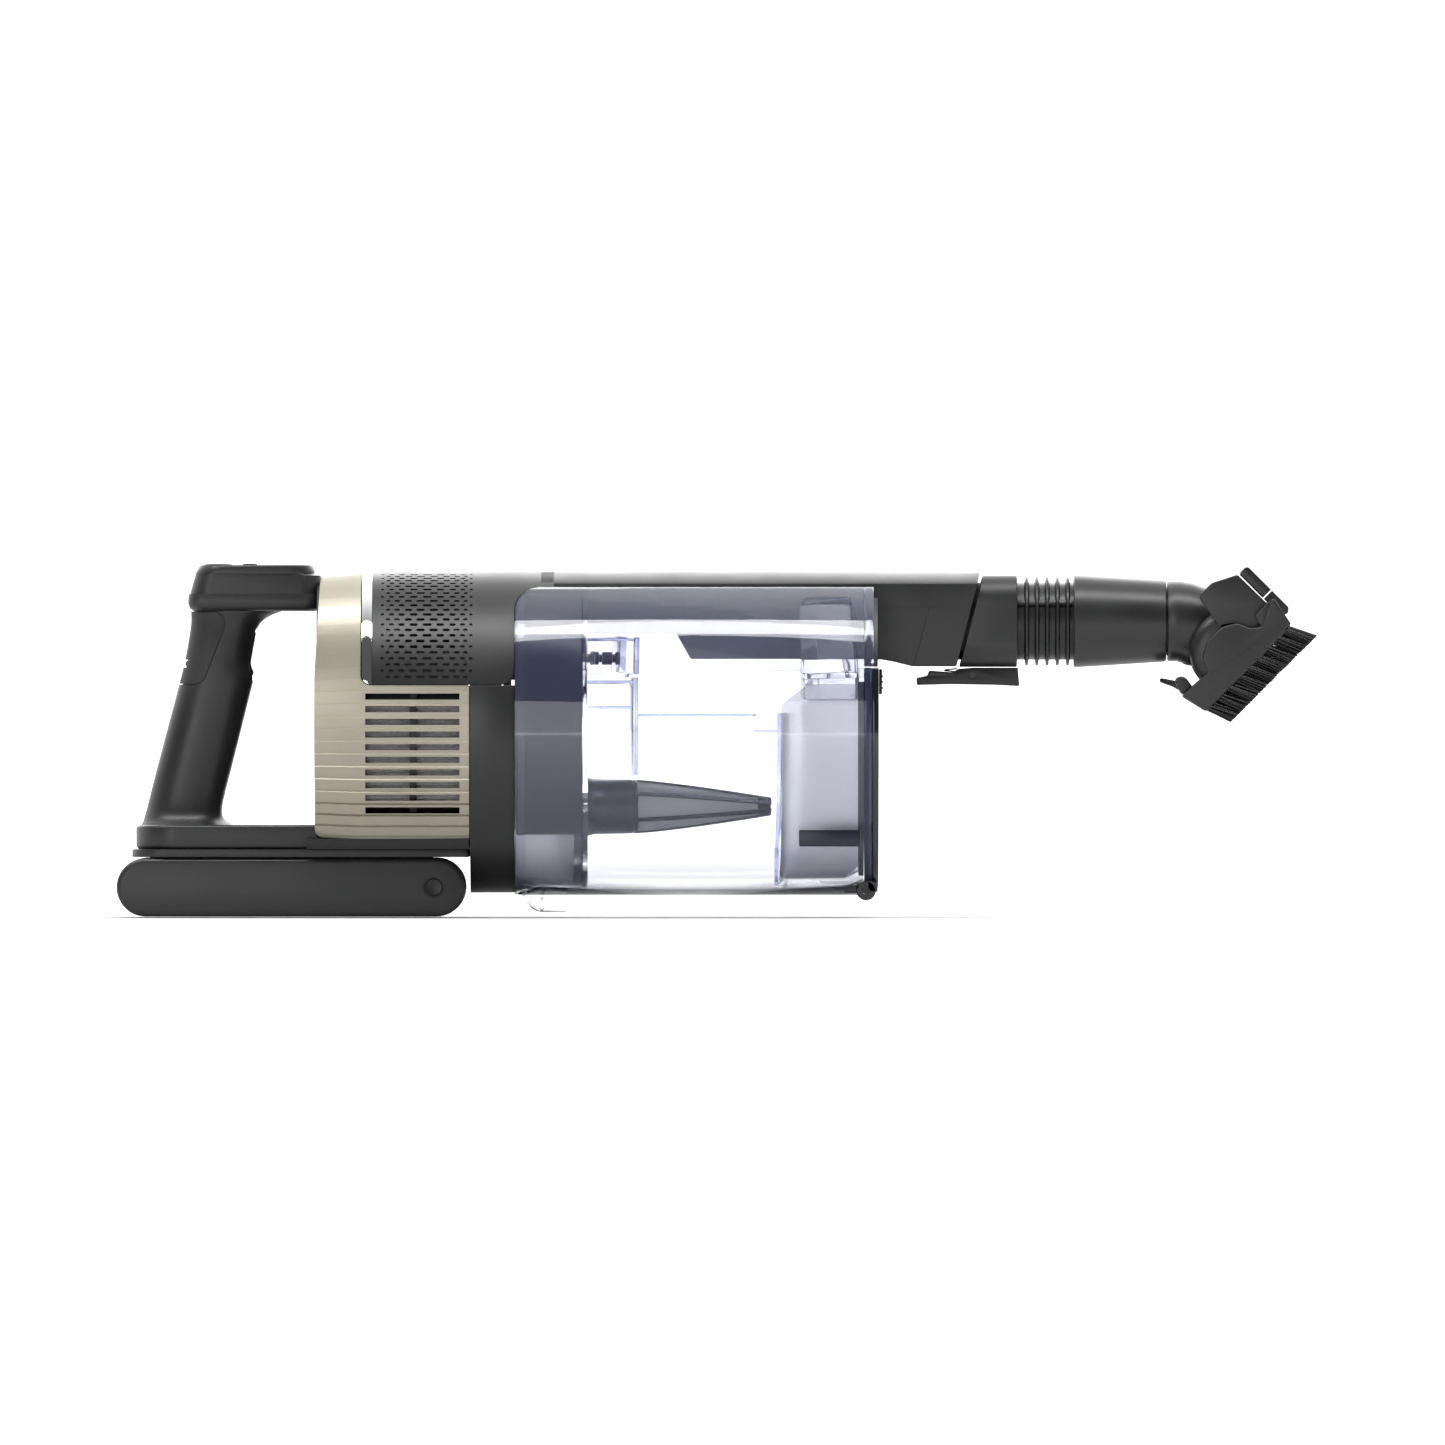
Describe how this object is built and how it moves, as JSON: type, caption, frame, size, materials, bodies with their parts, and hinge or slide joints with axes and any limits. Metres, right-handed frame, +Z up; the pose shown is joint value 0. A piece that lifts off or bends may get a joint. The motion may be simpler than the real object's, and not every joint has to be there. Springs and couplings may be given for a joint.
{
  "type": "handheld vacuum",
  "caption": "Cordless handheld vacuum with slide-out battery, loop handle, ribbed motor shroud, clear dust cup with drop-down door, and a swivelling, tilting dusting brush on the nozzle.",
  "frame": {"origin": "middle of the flat underside of the battery, which the vacuum rests on", "axes": "+X runs forward along the body to the nozzle, +Z is up away from the battery's underside, and Y = 0 is the plane of symmetry"},
  "size_m": [0.4929, 0.114, 0.1445],
  "materials": {
    "dark_plastic": "satin moulded plastic",
    "black_plastic": "satin moulded plastic",
    "champagne_paint": "champagne metallic paint on ribbed plastic",
    "chrome_trim": "chrome plated plastic",
    "clear_plastic": "clear polycarbonate with a faint blue tint",
    "smoke_plastic": "translucent grey plastic",
    "dusk_plastic": "dark blue-grey plastic seen through the cup",
    "gloss_black": "gloss",
    "soft_rubber": "matt soft-touch rubber",
    "filter_mesh": "fine woven metal mesh",
    "filter_media": "pleated filter paper",
    "foam": "open-cell foam",
    "steel": "turned steel",
    "cell_wrap": "plastic shrink wrap on metal cells",
    "circuit_board": "solder mask",
    "bristle": "soft nylon bristle"
  },
  "bodies": {
    "housing": {"exhaust_shroud": "champagne_paint", "rear_cover": "dark_plastic", "exhaust_filter": "filter_media", "trim_band": "chrome_trim", "motor_housing": "dark_plastic", "pre_motor_filter": "foam", "motor_can": "steel", "motor_mount": "soft_rubber", "bearing_front": "steel", "bearing_rear": "steel", "motor_board": "circuit_board", "upper_housing": "dark_plastic", "nozzle_collar": "dark_plastic", "lever_pin": "steel", "lever_spring": "steel", "handle_left_shell": "dark_plastic", "handle_right_shell": "dark_plastic", "grip_pad": "soft_rubber", "status_light": "gloss_black", "trigger_pin": "steel", "power_lead": "black_plastic", "control_lid": "dark_plastic", "display_lens": "gloss_black", "control_board": "circuit_board", "battery_dock": "dark_plastic", "dock_contacts": "steel"},
    "rotor": {"impeller": "dark_plastic", "motor_shaft": "steel"},
    "boost_trigger": {"boost_trigger": "dark_plastic"},
    "power_button": {"power_button": "black_plastic"},
    "mode_button": {"mode_button": "black_plastic"},
    "battery": {"battery_case_lower": "dark_plastic", "battery_case_upper": "dark_plastic", "cell_pack": "cell_wrap"},
    "battery_button_left": {"battery_button_left": "black_plastic"},
    "battery_button_right": {"battery_button_right": "black_plastic"},
    "release_lever": {"release_lever": "black_plastic"},
    "dust_cup": {"dust_cup_shell": "clear_plastic", "cup_channel": "clear_plastic", "cup_bulkhead": "clear_plastic", "cyclone_housing": "dusk_plastic", "cone_base": "dusk_plastic", "filter_cone": "filter_mesh", "inlet_duct": "clear_plastic", "dust_baffle": "smoke_plastic", "door_hinge_pin": "steel"},
    "cup_release_tab": {"cup_release_tab": "clear_plastic"},
    "cup_door": {"cup_door": "gloss_black", "door_seal": "soft_rubber"},
    "door_latch": {"door_latch": "black_plastic"},
    "tool": {"tool_connector": "black_plastic", "tool_sleeve": "dark_plastic"},
    "tool_elbow": {"tool_elbow": "dark_plastic"},
    "tool_head": {"tool_head": "dark_plastic", "head_bar": "black_plastic"},
    "brush": {"brush_frame": "dark_plastic", "bristles": "bristle"}
  },
  "joints": [
    {"name": "rotor_spin", "type": "hinge", "parent": "housing", "child": "rotor", "pos_m": [0.045, 0, 0.071], "axis": [1, 0, 0], "continuous": true},
    {"name": "trigger_pull", "type": "hinge", "parent": "housing", "child": "boost_trigger", "pos_m": [-0.0152, 0, 0.1147], "axis": [0, 1, 0], "range_deg": [0, 8], "stiffness_Nm_per_rad": 0.3, "springref_deg": -5.73},
    {"name": "power_press", "type": "slide", "parent": "housing", "child": "power_button", "axis": [0, 0, -1], "range_m": [0, 0.001], "stiffness_N_per_m": 800, "springref_m": -0.0008},
    {"name": "mode_press", "type": "slide", "parent": "housing", "child": "mode_button", "axis": [0, 0, -1], "range_m": [0, 0.001], "stiffness_N_per_m": 800, "springref_m": -0.0008},
    {"name": "battery_slide", "type": "slide", "parent": "housing", "child": "battery", "axis": [-1, 0, 0], "range_m": [0, 0.13]},
    {"name": "battery_release_left", "type": "slide", "parent": "battery", "child": "battery_button_left", "axis": [0, -1, 0], "range_m": [0, 0.0016], "stiffness_N_per_m": 800, "springref_m": -0.001},
    {"name": "battery_release_right", "type": "slide", "parent": "battery", "child": "battery_button_right", "axis": [0, 1, 0], "range_m": [0, 0.0016], "stiffness_N_per_m": 800, "springref_m": -0.001},
    {"name": "lever_press", "type": "hinge", "parent": "housing", "child": "release_lever", "pos_m": [0.279, 0, 0.0989], "axis": [0, 1, 0], "range_deg": [0, 5], "stiffness_Nm_per_rad": 0.3, "springref_deg": -5.73, "deforming": ["lever_spring"]},
    {"name": "cup_removal", "type": "slide", "parent": "housing", "child": "dust_cup", "axis": [0, 0, -1], "range_m": [0, 0.14]},
    {"name": "cup_tab_press", "type": "hinge", "parent": "dust_cup", "child": "cup_release_tab", "pos_m": [0.0975, 0, 0.0083], "axis": [0, -1, 0], "range_deg": [0, 8], "stiffness_Nm_per_rad": 0.5, "springref_deg": -2.86},
    {"name": "door_swing", "type": "hinge", "parent": "dust_cup", "child": "cup_door", "pos_m": [0.2353, 0, 0.0106], "axis": [0, 1, 0], "range_deg": [0, 90]},
    {"name": "latch_slide", "type": "slide", "parent": "dust_cup", "child": "door_latch", "axis": [0, 0, 1], "range_m": [0, 0.002], "stiffness_N_per_m": 600, "springref_m": -0.001},
    {"name": "tool_removal", "type": "slide", "parent": "housing", "child": "tool", "axis": [1, 0, 0], "range_m": [0, 0.06]},
    {"name": "elbow_swivel", "type": "hinge", "parent": "tool", "child": "tool_elbow", "pos_m": [0.36, 0, 0.12095], "axis": [1, 0, 0], "continuous": true},
    {"name": "head_tilt", "type": "hinge", "parent": "tool_elbow", "child": "tool_head", "pos_m": [0.38494, 0, 0.10855], "axis": [0, -1, 0], "range_deg": [-8, 30]},
    {"name": "brush_removal", "type": "slide", "parent": "tool_head", "child": "brush", "axis": [0.7071, 0, -0.7071], "range_m": [0, 0.03]}
  ]
}
